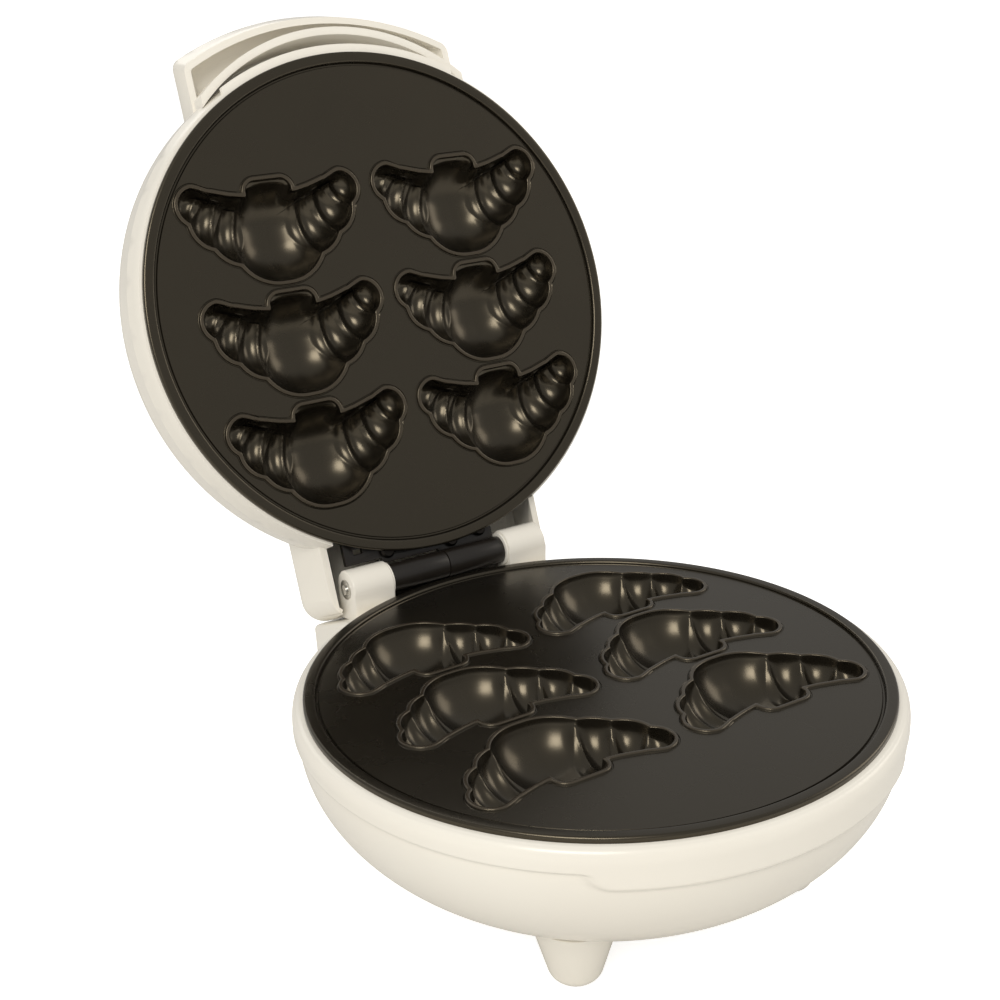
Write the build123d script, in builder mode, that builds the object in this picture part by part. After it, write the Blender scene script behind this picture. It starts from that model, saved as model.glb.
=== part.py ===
"""Mini croissant maker: a round countertop cooker with a hinged lid, modelled with its lid open.

Two cast plates carry six croissant moulds each and meet when the lid is closed.
The base stands on the floor at z = 0. The lid turns about a pin at the rear.
"""
from build123d import *
import os
from math import asin, atan2, cos, degrees, hypot, radians, sin, sqrt, tan

# Overall layout; shares are shares of the base plate's radius
PLATE_R = 100.0
RIM_Z = 72.0                # seam between base housing and base plate, above the floor
LID_OPEN = 110.0            # angle between the open lid and the closed one
HINGE_BACK = PLATE_R + 5.3  # hinge axis behind the plates' centre
HINGE_UP = 5.4              # hinge axis above the base seam
CLOSING_GAP = 0.4           # between the two plates' rings when closed
FIT = 0.3                   # clearance of parts that fit into each other
RUN_FIT = 0.05              # radial clearance of the hinge pin

# Cooking plates
LID_PLATE_R = PLATE_R - 2.5
PLATE_PROUD = 2.0           # ring top above the seam
FACE_UP = 1.0               # cooking face above the seam
CAST_WALL = 2.6             # casting thickness under face and moulds
RING_W = 4.2                # flat ring round the edge
GROOVE_W = 1.2
GROOVE_DEEP = 0.7
SKIRT_W = 2.4
SKIRT_DEEP = 9.0
LUG_R = 4.5                 # lugs that take the plate's fixing screws
LUG_DEEP = 12.0
LUG_FRONT = (0.35, -0.78)    # as shares
LUG_REAR = (0.56, 0.66)

# Croissant moulds: the broad centre lobe, then three lobes to each tip (x, y, radius, depth), as shares
LOBES = ((0.035, 0.14, 0.18, 0.136), (0.136, 0.106, 0.132, 0.12), (0.226, 0.058, 0.102, 0.1),
         (0.294, 0.003, 0.067, 0.08))
HOLLOW_R = 0.7 * PLATE_R    # smooth curve along the hollow side
NOTCH_W = 0.185 * PLATE_R   # square notch in the middle of the hollow side
NOTCH_OUT = 0.064 * PLATE_R
NOTCH_DEEP = 0.105 * PLATE_R
NOTCH_ROUND = 0.042 * PLATE_R
BEAD_W = 2.0                # raised bead round each mould
BEAD_H = 0.8
MOULD_X = 0.401 * PLATE_R
MOULD_ROWS = (-0.46 * PLATE_R, -0.031 * PLATE_R, 0.398 * PLATE_R)

# Base housing
WALL = 2.6
RIM_TOP_R = PLATE_R + 1.6
BAND_R = PLATE_R + 4.0
BAND_FULL = 5.0             # depth at which the band reaches its full radius
BAND_H = 7.5
BAND_STEP = 0.8
BOWL_R = PLATE_R + 2.5
BOWL_SHOULDER = 10.0        # depth where the bowl starts to curve in
BOWL_DROP = 61.0            # vertical half-axis of the bowl's side
BASE_H = 56.0               # seam to flat bottom
LEDGE_T = 3.0               # ledge that carries the plate's ring
LIP_H = 13.6                # deeper band at the front
LIP_HALF = 62.5
LIP_ROUND = 7.0
COVER_R = 0.52 * PLATE_R
COVER_T = 2.0
COVER_LAP = 8.0             # ring that the bottom cover lies against
FLOOR_T = 2.6

# Hinge box at the rear of the base
BOX_HALF = 50.0
BOX_UNDER = 0.69 * PLATE_R   # the box reaches this far in under the bowl
BOX_REAR = PLATE_R + 28.0
BOX_ROUND = 7.0
EAR_IN = 26.0               # hinge ears stand between these distances from the middle
EAR_OUT = 43.0
EAR_WALL = 1.8
EAR_END = 2.0

# Hinge
PIN_R = 2.0
KNUCKLE_R = 5.4
KNUCKLE_END = 25.0
KNUCKLE_GAP = 0.4
LEAF_T = 2.4
BUSH_FLANGE_R = 6.6
BUSH_FLANGE_T = 0.8
CLIP_R = 3.8
CLIP_T = 0.6

# Lid housing, heights measured from the lid seam into the lid
EDGE_R = LID_PLATE_R + 1.1
LID_R = LID_PLATE_R + 3.1
FLARE_H = 9.0
LID_SHOULDER = 17.0
LID_ROUND = 20.0            # shoulder radius between side and crown
LID_H = 41.0
CHEEK_LOW = 5.0             # underside of the hinge cheeks
CHEEK_HALF_LOW = 48.5
CHEEK_HALF_TOP = 54.0
CHEEK_WALL = 3.6
LID_BOX_H = 33.0
LID_BOX_REAR = HINGE_BACK + 11.0   # rear wall at the cheeks' underside
REAR_DRAFT = 4.6            # slope of the rear wall
REAR_CUT = 14.0             # lower edge of the rear wall between the cheeks
LID_BOX_ROUND = 9.0
REAR_OPENING = 41.0         # half width of the gap in the lid edge behind the plate

# Handle: a visor with a finger pocket under it
HANDLE_HALF = 57.0
HANDLE_R = LID_R + 19.9     # outer edge at the top
HANDLE_LOW_R = LID_R + 15.0  # outer edge at the lower lip
HANDLE_LOW = 13.0
HANDLE_TOP = 27.0
GRIP_R = 79.0               # flatter inner wall, its own centre
GRIP_Y = GRIP_R - LID_R - 5.4
GRIP_T = 3.0
GRIP_LOW = 4.0
STRIP_R = LID_R + 0.4       # narrow strip of edge in front of the plate
STRIP_T = 2.4
STRIP_HALF_ANGLE = 29.0

# Inner parts
ELEMENT_R = 0.55 * PLATE_R
TUBE_R = 3.2
ELEMENT_DEEP = 21.0
ELEMENT_END = 16.0          # half distance between the element's two ends
ELEMENT_TAIL = 0.2 * PLATE_R
ELEMENT_BEND = 8.0
STUD_R = 1.5
STUD_L = 6.0
PAN_R = 0.86 * PLATE_R
PAN_T = 0.8
PAN_RIM = 5.0
PAN_DEEP = 27.0
POST_R = 3.4
POST_SIDE_Y = -0.13 * PLATE_R
POST_REAR_X = 0.256 * PLATE_R
PAN_POSTS = ((0, -0.72 * PLATE_R), (0, 0.175 * PLATE_R), (0, 0.74 * PLATE_R))

# Feet
FOOT_FRONT = (0.44 * PLATE_R, -0.5 * PLATE_R)
FOOT_REAR = (34.5, BOX_REAR - 24.0)
FOOT_TOP_R = 14.6
FOOT_TOP_Z = 24.0
FOOT_KNEE_R = 9.0
FOOT_KNEE_Z = 4.6
FOOT_END_R = 5.0
PAD_R = 4.2
PAD_PROUD = 0.6
PAD_T = 2.0

# Fasteners and small parts
SCREW_R = 1.5
HEAD_R = 2.9
HEAD_T = 1.8
SHANK_R = 1.4
SHANK_L = 9.0
SHELF_T = 3.0
SHELF_W = 11.0
SHELF_WEB = 3.4
BOSS_R = 3.6
BOSS_H = 8.0
COVER_SCREWS = 4
VENTS = 12
VENT_R = 30.0
VENT_L = 18.0
VENT_W = 3.0
RIB_T = 3.0
RIB_DEEP = 27.0
LEAF_X = 16.0               # screws of the base leaf
LEAF_SCREW_Z = -19.0
PANEL_LEFT = 40.0           # lid leaf, seen as a dark panel behind the plate
PANEL_LOW = 3.4
PANEL_HOLE = (-34.0, HINGE_BACK - 12.8)
PANEL_HOLE_W = 4.0
PANEL_SCREWS = ((-22.0, HINGE_BACK - 10.4), (6.0, HINGE_BACK - 8.6), (19.0, HINGE_BACK - 10.0))
BLOCK = (26.0, 12.0, 11.0)  # terminal block
BLOCK_AT = (-14.0, BOX_REAR - 20.0)
STAT_R = 8.0
STAT_H = 7.0
STAT_Y = -0.25 * PLATE_R
FUSE_R = 1.9
FUSE_L = 11.0
FUSE_Y = 0.645 * PLATE_R
GLAND_Z = 36.0
GLAND_BORE = 3.5
GLAND_R = 6.0
GLAND_FLANGE_R = 8.5
GLAND_FLANGE_T = 2.0
LAMP_R = 3.2
LAMP_X = 9.0
LAMP_Y = -0.58 * PLATE_R
EDGE = 0.9                  # softened edges

# Values that follow from the ones above
LID_SEAT = 2 * PLATE_PROUD + CLOSING_GAP
HINGE_IN_LID = HINGE_UP - LID_SEAT
turn = radians(LID_OPEN)
rear_reach = (HINGE_BACK - (HANDLE_R + HINGE_BACK) * cos(turn) + (HANDLE_TOP - HINGE_IN_LID) * sin(turn))
BASE_Y = (BAND_R - rear_reach) / 2
STOP_SLOPE = LID_OPEN - 90 + REAR_DRAFT
STOP_REACH = (LID_BOX_REAR - HINGE_BACK - tan(radians(REAR_DRAFT)) * (CHEEK_LOW - HINGE_IN_LID))
STOP_REACH = STOP_REACH * cos(radians(REAR_DRAFT)) + FIT
EAR_R = KNUCKLE_R + 0.4 + EAR_WALL

BASE = Plane((0, BASE_Y, 0))
SEAM = BASE.offset(RIM_Z)
HINGE = Pos(0, BASE_Y + HINGE_BACK, RIM_Z + HINGE_UP)
LID = Plane(HINGE * Rot(-LID_OPEN, 0, 0) * Pos(0, -HINGE_BACK, -HINGE_IN_LID))
LID_FACE = Plane(LID.origin, x_dir=-LID.x_dir, z_dir=-LID.z_dir)


def section_of(plane):
    """Plane through a plate's axis, for profiles as radius and height."""
    return Plane(plane.origin, x_dir=plane.x_dir, z_dir=-plane.y_dir)


def side_of(plane, x=0.0):
    """Plane square to the hinge axis, for outlines as distance back and height."""
    return Plane(plane.origin + plane.x_dir * x, x_dir=plane.y_dir, z_dir=plane.x_dir)


def axis_of(plane):
    return Axis(plane.origin, plane.z_dir)


def finish(builder, name):
    """Label a finished piece and write it."""
    builder.part.label = name
    export_step(builder.part, f"parts/{name}.step")


os.makedirs("parts", exist_ok=True)


def mould_lobes(grow):
    """Centre, radius and depth of every lobe of a mould, grown by a margin."""
    for lobe in LOBES:
        x, y, radius, depth = (share * PLATE_R for share in lobe)
        for side in (1, -1):
            yield x * side, y, radius + grow, depth + grow


def mould_outline(grow):
    """Plan of one mould, grown outwards by a margin."""
    with BuildSketch() as plan:
        for x, y, radius, _ in mould_lobes(grow):
            with Locations((x, y)):
                Circle(radius)
        middle_x, middle_y, middle_r, _ = next(mould_lobes(grow))
        with Locations((0, middle_y)):
            Rectangle(2 * middle_x, 2 * middle_r)
        with Locations((0, -HOLLOW_R)):
            Circle(HOLLOW_R - grow, mode=Mode.SUBTRACT)
        with Locations((0, NOTCH_ROUND - NOTCH_OUT / 2)):
            RectangleRounded(NOTCH_W + 2 * grow, NOTCH_OUT + 2 * NOTCH_ROUND + 2 * grow, NOTCH_ROUND + grow)
    return plan.sketch


def mould_form(grow, top):
    """Body of one mould below its face: overlapping round lobes and a rounded notch."""
    middle_x, middle_y, middle_r, middle_deep = next(mould_lobes(grow))
    middle_ball = (middle_r ** 2 + middle_deep ** 2) / (2 * middle_deep)
    with BuildPart() as form:
        with Locations((0, middle_y, middle_ball - middle_deep)):
            Cylinder(middle_ball, 2 * middle_x, rotation=(0, 90, 0))
        for x, y, radius, depth in mould_lobes(grow):
            ball = (radius ** 2 + depth ** 2) / (2 * depth)
            with Locations((x, y, ball - depth)):
                Sphere(ball)
        with Locations((0, -HOLLOW_R, 0)):
            Cylinder(HOLLOW_R - grow, 4 * middle_r, mode=Mode.SUBTRACT)
        with BuildSketch(Plane.XY.offset(-NOTCH_DEEP - grow)):
            with Locations((0, NOTCH_ROUND - NOTCH_OUT / 2)):
                RectangleRounded(NOTCH_W + 2 * grow, NOTCH_OUT + 2 * NOTCH_ROUND + 2 * grow, NOTCH_ROUND + grow)
        extrude(amount=NOTCH_DEEP + grow + middle_r)
        split(bisect_by=Plane.XY.offset(top), keep=Keep.BOTTOM)
    return form.part


mould_void = mould_form(0.0, BEAD_H + 0.2)
mould_boss = mould_form(CAST_WALL, -EDGE)
mould_spots = [(x, y) for x in (-MOULD_X, MOULD_X) for y in MOULD_ROWS]
element_posts = [(0, -ELEMENT_R)]
element_posts += [(side * sqrt(ELEMENT_R ** 2 - POST_SIDE_Y ** 2), POST_SIDE_Y) for side in (-1, 1)]
element_posts += [(side * POST_REAR_X, sqrt(ELEMENT_R ** 2 - POST_REAR_X ** 2)) for side in (-1, 1)]
lug_spots = [(side * x * PLATE_R, y * PLATE_R) for x, y in (LUG_FRONT, LUG_REAR) for side in (-1, 1)]


def cooking_plate(seam, radius):
    """Cast plate: ring and skirt round the edge, six moulds with beads, lugs and posts below."""
    with BuildPart(seam) as plate:
        with BuildSketch(section_of(seam)):
            with BuildLine():
                Polyline(
                    (0, FACE_UP), (radius - RING_W - GROOVE_W, FACE_UP),
                    (radius - RING_W - GROOVE_W, FACE_UP - GROOVE_DEEP),
                    (radius - RING_W, FACE_UP - GROOVE_DEEP), (radius - RING_W, PLATE_PROUD - EDGE),
                    (radius - RING_W + EDGE, PLATE_PROUD), (radius - EDGE, PLATE_PROUD),
                    (radius, PLATE_PROUD - EDGE), (radius, 0), (radius - RING_W - FIT, 0),
                    (radius - RING_W - FIT, -SKIRT_DEEP), (radius - RING_W - FIT - SKIRT_W, -SKIRT_DEEP),
                    (radius - RING_W - FIT - SKIRT_W, FACE_UP - CAST_WALL), (0, FACE_UP - CAST_WALL),
                    close=True)
            make_face()
        revolve(axis=axis_of(seam))
        with Locations(*[(x, y, FACE_UP) for x, y in mould_spots]):
            add(mould_boss)
        with BuildSketch(seam.offset(FACE_UP)):
            with Locations(*mould_spots):
                add(mould_outline(BEAD_W))
        extrude(amount=BEAD_H)
        with BuildSketch(seam.offset(-LUG_DEEP)):
            with Locations(*lug_spots):
                Circle(LUG_R)
        extrude(amount=LUG_DEEP)
        with BuildSketch(seam.offset(-ELEMENT_DEEP + TUBE_R)):
            with Locations(*element_posts):
                Circle(POST_R)
        extrude(amount=ELEMENT_DEEP - TUBE_R)
        with BuildSketch(seam.offset(-PAN_DEEP)):
            with Locations(*PAN_POSTS):
                Circle(POST_R)
        extrude(amount=PAN_DEEP)
        with Locations(*[(x, y, FACE_UP) for x, y in mould_spots]):
            add(mould_void, mode=Mode.SUBTRACT)
        with BuildSketch(seam.offset(-LUG_DEEP)):
            with Locations(*lug_spots):
                Circle(SCREW_R)
        extrude(amount=LUG_DEEP - CAST_WALL, mode=Mode.SUBTRACT)
        with BuildSketch(seam.offset(-PAN_DEEP)):
            with Locations(*PAN_POSTS):
                Circle(SCREW_R)
        extrude(amount=LUG_DEEP - CAST_WALL, mode=Mode.SUBTRACT)
    return plate


base_plate = cooking_plate(SEAM, PLATE_R)
finish(base_plate, "base_plate")
lid_plate = cooking_plate(LID_FACE, LID_PLATE_R)
finish(lid_plate, "lid_plate")


def side_angle(depth, half_height):
    """Angle on the bowl's elliptical side at a depth below its shoulder."""
    return degrees(asin((depth - BOWL_SHOULDER) / half_height))


def stop_height(back, drop=0.0):
    """Height of the sloping shoulder on which the open lid leans."""
    slope = radians(STOP_SLOPE)
    return HINGE_UP - (STOP_REACH + drop + (back - HINGE_BACK) * sin(slope)) / cos(slope)


BOX_FRONT = HINGE_BACK - 4 * KNUCKLE_R
BOX_TOP_START = HINGE_BACK - 2 * KNUCKLE_R
BOX_BASE = COVER_T - BASE_H
FLOOR_UP = COVER_T + FLOOR_T - BASE_H
LEDGE_R = PLATE_R - RING_W


def box_outline(inset, front):
    """Side outline of the base's hinge box as distance back and height."""
    return [(front, -EDGE), (BOX_TOP_START, stop_height(BOX_TOP_START, inset) - EDGE),
            (BOX_REAR - inset, stop_height(BOX_REAR - inset, inset)),
            (BOX_REAR - inset - WALL, BOX_BASE + inset), (front, BOX_BASE + inset)]


def bowl_side(inset, depth):
    """Elliptical side of the bowl from a depth up to its shoulder."""
    turned = side_angle(depth, BOWL_DROP - inset)
    return EllipticalCenterArc((0, -BOWL_SHOULDER), BOWL_R - inset, BOWL_DROP - inset, -turned, arc_size=turned)


# Solid outer form of the bowl, used for the housing and to trim the feet
with BuildPart() as bowl_form:
    with BuildSketch(section_of(SEAM)):
        with BuildLine():
            side = bowl_side(0, BASE_H)
            Polyline(side @ 1, (BOWL_R, -BAND_H - BAND_STEP), (BAND_R, -BAND_H), (BAND_R, -BAND_FULL))
            TangentArc((BAND_R, -BAND_FULL), (RIM_TOP_R, 0), tangent=(0, 1))
            Polyline((RIM_TOP_R, 0), (0, 0), (0, -BASE_H), side @ 0)
        make_face()
    revolve(axis=axis_of(SEAM))

with BuildPart() as bowl_void:
    with BuildSketch(section_of(SEAM)):
        with BuildLine():
            side = bowl_side(WALL, -FLOOR_UP)
            Polyline(side @ 1, (BOWL_R - WALL, -LEDGE_T), (LEDGE_R, -LEDGE_T), (LEDGE_R, WALL),
                     (0, WALL), (0, FLOOR_UP), side @ 0)
        make_face()
    revolve(axis=axis_of(SEAM))

# Hinge box behind the bowl, with the sloping shoulder on top
with BuildPart() as box_form:
    with BuildSketch(side_of(SEAM)):
        Polygon(*box_outline(0, BOX_UNDER), align=None)
    extrude(amount=BOX_HALF, both=True)
    fillet(box_form.edges().filter_by(Axis.Z, tolerance=15).group_by(Axis.Y)[-1], BOX_ROUND)
    fillet(box_form.faces().sort_by(Axis.Y)[-1].edges().group_by(Axis.Z)[-1], BOX_ROUND / 2)


def shelf_set(seam, wall_r, ledge_r):
    """Brackets that hang from a housing's ledge and carry the plate's screws."""
    with BuildPart() as shelves:
        for x, y in lug_spots:
            heading = degrees(atan2(y, x))
            inner_r = hypot(x, y) - LUG_R
            with BuildSketch(seam.offset(-LUG_DEEP - SHELF_T)):
                with PolarLocations((inner_r + wall_r) / 2, 1, heading):
                    Rectangle(wall_r - inner_r, SHELF_W)
            extrude(amount=SHELF_T)
            with BuildSketch(seam.offset(-LUG_DEEP - SHELF_T)):
                with PolarLocations(ledge_r + SHELF_WEB / 2 + FIT, 1, heading):
                    Rectangle(SHELF_WEB, SHELF_W)
            extrude(amount=LUG_DEEP + SHELF_T - WALL)
        with BuildSketch(seam.offset(-LUG_DEEP - SHELF_T)):
            with Locations(*lug_spots):
                Circle(SCREW_R + FIT)
        extrude(amount=SHELF_T, mode=Mode.SUBTRACT)
    return shelves.part


def screw_group(places, length):
    """Pan-head screws; each place is a plane on the seat, pointing out of the head."""
    with BuildPart() as screw:
        with BuildSketch(Plane.XZ):
            with BuildLine():
                Polyline((0, HEAD_T), (0, -length), (SHANK_R, -length), (SHANK_R, 0), (HEAD_R, 0),
                         (HEAD_R, HEAD_T / 2), (HEAD_R - EDGE, HEAD_T), close=True)
            make_face()
        revolve(axis=Axis.Z)
    with BuildPart() as group:
        with Locations(*places):
            add(screw.part)
    return group


# Deeper band at the front, with rounded lower corners
with BuildPart() as front_lip:
    with BuildSketch(section_of(SEAM)):
        with Locations((BAND_R - WALL / 2 - EDGE, -(LIP_H + BAND_FULL) / 2)):
            Rectangle(WALL + 2 * EDGE, LIP_H - BAND_FULL)
    revolve(axis=axis_of(SEAM))
    with BuildSketch(section_of(SEAM)):
        with Locations((0, LIP_ROUND - LIP_H / 2)):
            RectangleRounded(2 * LIP_HALF, LIP_H + 2 * LIP_ROUND, LIP_ROUND)
    extrude(amount=2 * BAND_R, mode=Mode.INTERSECT)

cover_screw_r = COVER_R - COVER_LAP / 2
foot_spots = [(side * x, y) for x, y in (FOOT_FRONT, FOOT_REAR) for side in (-1, 1)]
leaf_front = HINGE_BACK + EDGE

# Base housing: one moulding with bowl, rim band, front lip, hinge box and hinge ears
with BuildPart() as base_housing:
    add(bowl_form)
    add(box_form)
    add(front_lip)
    add(bowl_void, mode=Mode.SUBTRACT)
    with BuildSketch(side_of(SEAM)):
        Polygon(*box_outline(WALL, BOX_FRONT - WALL), align=None)
    extrude(amount=BOX_HALF - WALL, both=True, mode=Mode.SUBTRACT)
    add(shelf_set(SEAM, BOWL_R - WALL / 2, LEDGE_R))
    # hinge ears, closed at their outer ends and open towards the barrel
    for left in (-EAR_OUT, EAR_IN):
        with BuildSketch(side_of(SEAM, left)):
            with Locations((HINGE_BACK, HINGE_UP)):
                Circle(EAR_R)
            with Locations((HINGE_BACK - EAR_R / 3, (HINGE_UP - EAR_R) / 2)):
                Rectangle(4 * EAR_R / 3, HINGE_UP + EAR_R)
        extrude(amount=EAR_OUT - EAR_IN)
    for left in (EAR_END - EAR_OUT, EAR_IN):
        with BuildSketch(side_of(SEAM, left)):
            with Locations((HINGE_BACK, HINGE_UP)):
                Circle(EAR_R - EAR_WALL)
        extrude(amount=EAR_OUT - EAR_END - EAR_IN, mode=Mode.SUBTRACT)
    with BuildSketch(side_of(SEAM)):
        with Locations((HINGE_BACK, HINGE_UP)):
            Circle(PIN_R + RUN_FIT)
    extrude(amount=EAR_OUT, both=True, mode=Mode.SUBTRACT)
    # slot for the base leaf, and the rib that it is screwed to
    with BuildSketch(side_of(SEAM)):
        with Locations((leaf_front + LEAF_T / 2, -RIB_DEEP / 4)):
            Rectangle(LEAF_T + 2 * FIT, RIB_DEEP / 2)
    extrude(amount=KNUCKLE_END + FIT, both=True, mode=Mode.SUBTRACT)
    with BuildSketch(side_of(SEAM)):
        rib_front = leaf_front + LEAF_T
        rib_rear = rib_front + RIB_T
        Polygon((rib_front, -RIB_DEEP), (rib_rear, -RIB_DEEP), (rib_rear, stop_height(rib_rear, EDGE)),
                (rib_front + FIT, stop_height(rib_front, EDGE)), (rib_front, stop_height(rib_front, WALL)),
                align=None)
    extrude(amount=KNUCKLE_END + RIB_T, both=True)
    with BuildSketch(Plane(SEAM.origin + SEAM.y_dir * rib_front, x_dir=SEAM.x_dir, z_dir=-SEAM.y_dir)):
        with Locations((-LEAF_X, LEAF_SCREW_Z), (LEAF_X, LEAF_SCREW_Z)):
            Circle(SCREW_R)
    extrude(amount=-RIB_T, mode=Mode.SUBTRACT)
    # bosses for the bottom cover
    with BuildSketch(SEAM.offset(FLOOR_UP)):
        with PolarLocations(cover_screw_r, COVER_SCREWS, 45):
            Circle(BOSS_R)
    extrude(amount=BOSS_H)
    # opening in the floor and the recess of its cover
    with BuildSketch(SEAM.offset(-BASE_H)):
        Circle(COVER_R + FIT)
    extrude(amount=COVER_T, mode=Mode.SUBTRACT)
    with BuildSketch(SEAM.offset(-BASE_H)):
        Circle(COVER_R - COVER_LAP)
    extrude(amount=COVER_T + FLOOR_T, mode=Mode.SUBTRACT)
    with BuildSketch(SEAM.offset(-BASE_H)):
        with PolarLocations(cover_screw_r, COVER_SCREWS, 45):
            Circle(SCREW_R)
        with Locations(*foot_spots):
            Circle(SCREW_R)
    extrude(amount=COVER_T + FLOOR_T + BOSS_H / 2, mode=Mode.SUBTRACT)
    # hole for the cord gland
    with BuildSketch(Plane((0, BASE_Y + BOX_REAR, GLAND_Z), x_dir=(1, 0, 0), z_dir=(0, -1, 0))):
        Circle(GLAND_R + FIT / 2)
    extrude(amount=4 * WALL, mode=Mode.SUBTRACT)
finish(base_housing, "base_housing")

# Bottom cover: a flat disc with a ring of vents
with BuildPart() as bottom_cover:
    with BuildSketch(SEAM.offset(-BASE_H)):
        Circle(COVER_R)
        with PolarLocations(VENT_R, VENTS):
            SlotOverall(VENT_L, VENT_W, mode=Mode.SUBTRACT)
        with PolarLocations(cover_screw_r, COVER_SCREWS, 45):
            Circle(SCREW_R + FIT, mode=Mode.SUBTRACT)
    extrude(amount=COVER_T)
finish(bottom_cover, "bottom_cover")

cover_seats = [Plane(SEAM.from_local_coords((cover_screw_r * cos(radians(a)), cover_screw_r * sin(radians(a)),
               -BASE_H)), x_dir=(1, 0, 0), z_dir=(0, 0, -1)) for a in range(45, 360, 360 // COVER_SCREWS)]
cover_screws = screw_group(cover_seats, COVER_T + BOSS_H / 2)
finish(cover_screws, "bottom_cover_screws")

# Feet: tapered posts trimmed to the housing, each with a rubber pad
for spot, name in zip(foot_spots, ("front_left", "front_right", "rear_left", "rear_right")):
    stand = Plane(BASE.from_local_coords((spot[0], spot[1], 0)))
    with BuildPart() as foot:
        with BuildSketch(section_of(stand)):
            with BuildLine():
                Polyline((0, FOOT_TOP_Z), (FOOT_TOP_R, FOOT_TOP_Z), (FOOT_KNEE_R, FOOT_KNEE_Z))
                knee_slope = (FOOT_KNEE_R - FOOT_TOP_R, FOOT_KNEE_Z - FOOT_TOP_Z)
                TangentArc((FOOT_KNEE_R, FOOT_KNEE_Z), (FOOT_END_R, PAD_PROUD), tangent=knee_slope)
                Polyline((FOOT_END_R, PAD_PROUD), (0, PAD_PROUD), (0, FOOT_TOP_Z))
            make_face()
        revolve(axis=axis_of(stand))
        add(bowl_form, mode=Mode.SUBTRACT)
        add(box_form, mode=Mode.SUBTRACT)
        with BuildSketch(stand):
            Circle(PAD_R)
        extrude(amount=PAD_T, mode=Mode.SUBTRACT)
        with BuildSketch(stand.offset(FOOT_TOP_Z)):
            Circle(SCREW_R)
        extrude(amount=PAD_T + FOOT_KNEE_Z - FOOT_TOP_Z, mode=Mode.SUBTRACT)
    finish(foot, f"foot_{name}")

with BuildPart() as foot_pads:
    with BuildSketch(BASE):
        with Locations(*foot_spots):
            Circle(PAD_R)
    extrude(amount=PAD_T)
finish(foot_pads, "foot_pads")

foot_seats = [Plane(SEAM.from_local_coords((x, y, FLOOR_UP))) for x, y in foot_spots]
foot_screws = screw_group(foot_seats, COVER_T + FLOOR_T + SHANK_L)
finish(foot_screws, "foot_screws")

with BuildPart() as cord_gland:
    rear_face = Plane((0, BASE_Y + BOX_REAR, GLAND_Z), x_dir=(1, 0, 0), z_dir=(0, 1, 0))
    with BuildSketch(rear_face):
        Circle(GLAND_FLANGE_R)
    extrude(amount=GLAND_FLANGE_T)
    with BuildSketch(rear_face):
        Circle(GLAND_R)
    extrude(amount=-3 * WALL)
    with BuildSketch(rear_face.offset(GLAND_FLANGE_T)):
        Circle(GLAND_BORE)
    extrude(amount=-GLAND_FLANGE_T - 3 * WALL, mode=Mode.SUBTRACT)
finish(cord_gland, "cord_gland")

plate_seats = [Plane(SEAM.from_local_coords((x, y, -LUG_DEEP - SHELF_T)), x_dir=SEAM.x_dir, z_dir=-SEAM.z_dir)
               for x, y in lug_spots]
base_plate_screws = screw_group(plate_seats, SHELF_T + SHANK_L)
finish(base_plate_screws, "base_plate_screws")


def heating_element(seam):
    """Tubular heater bent to an open ring, its two ends side by side at the rear."""
    corner_y = sqrt(ELEMENT_R ** 2 - ELEMENT_END ** 2)
    corner_angle = degrees(atan2(corner_y, ELEMENT_END))
    with BuildPart() as element:
        with BuildLine(seam.offset(-ELEMENT_DEEP)) as path:
            Line((ELEMENT_END, ELEMENT_R + ELEMENT_TAIL), (ELEMENT_END, corner_y))
            CenterArc((0, 0), ELEMENT_R, corner_angle, -180 - 2 * corner_angle)
            Line((-ELEMENT_END, corner_y), (-ELEMENT_END, ELEMENT_R + ELEMENT_TAIL))
            fillet(path.vertices().group_by(Axis(seam.origin, seam.y_dir))[0], ELEMENT_BEND)
        with BuildSketch(Plane(path.line @ 0, z_dir=path.line % 0)):
            Circle(TUBE_R)
        sweep()
        for end in (0, 1):
            tail = Plane(path.line @ end, z_dir=seam.y_dir)
            with BuildSketch(tail):
                Circle(STUD_R)
            extrude(amount=STUD_L)
    return element


def reflector(seam):
    """Shallow pressed pan behind the heater, with a turned-up rim."""
    with BuildPart() as pan:
        with BuildSketch(section_of(seam)):
            Polygon((0, -PAN_DEEP), (PAN_R - PAN_T, -PAN_DEEP), (PAN_R - PAN_T, PAN_RIM - PAN_DEEP),
                    (PAN_R, PAN_RIM - PAN_DEEP), (PAN_R, -PAN_DEEP - PAN_T), (0, -PAN_DEEP - PAN_T), align=None)
        revolve(axis=axis_of(seam))
        with BuildSketch(seam.offset(-PAN_DEEP)):
            with Locations(*PAN_POSTS):
                Circle(SCREW_R + FIT / 2)
        extrude(amount=-PAN_T, mode=Mode.SUBTRACT)
    return pan


def pan_screws(seam):
    seats = [Plane(seam.from_local_coords((x, y, -PAN_DEEP - PAN_T)), x_dir=seam.x_dir, z_dir=-seam.z_dir)
             for x, y in PAN_POSTS]
    return screw_group(seats, PAN_T + SHANK_L)


finish(heating_element(SEAM), "base_heating_element")
finish(reflector(SEAM), "base_reflector")
finish(pan_screws(SEAM), "base_reflector_screws")

# Thermostat and thermal fuse, pressed against the underside of the base plate
plate_back = FACE_UP - CAST_WALL
with BuildPart() as thermostat:
    with BuildSketch(SEAM.offset(plate_back)):
        with Locations((0, STAT_Y)):
            Circle(STAT_R)
    extrude(amount=-STAT_H / 2)
    with BuildSketch(SEAM.offset(plate_back - STAT_H / 2)):
        with Locations((0, STAT_Y)):
            Circle(STAT_R - EDGE)
    extrude(amount=-STAT_H / 2)
    with BuildSketch(SEAM.offset(plate_back - STAT_H)):
        with Locations((-STAT_R / 2, STAT_Y), (STAT_R / 2, STAT_Y)):
            Rectangle(EDGE, STAT_R)
    extrude(amount=-STAT_H)
finish(thermostat, "thermostat")

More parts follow.
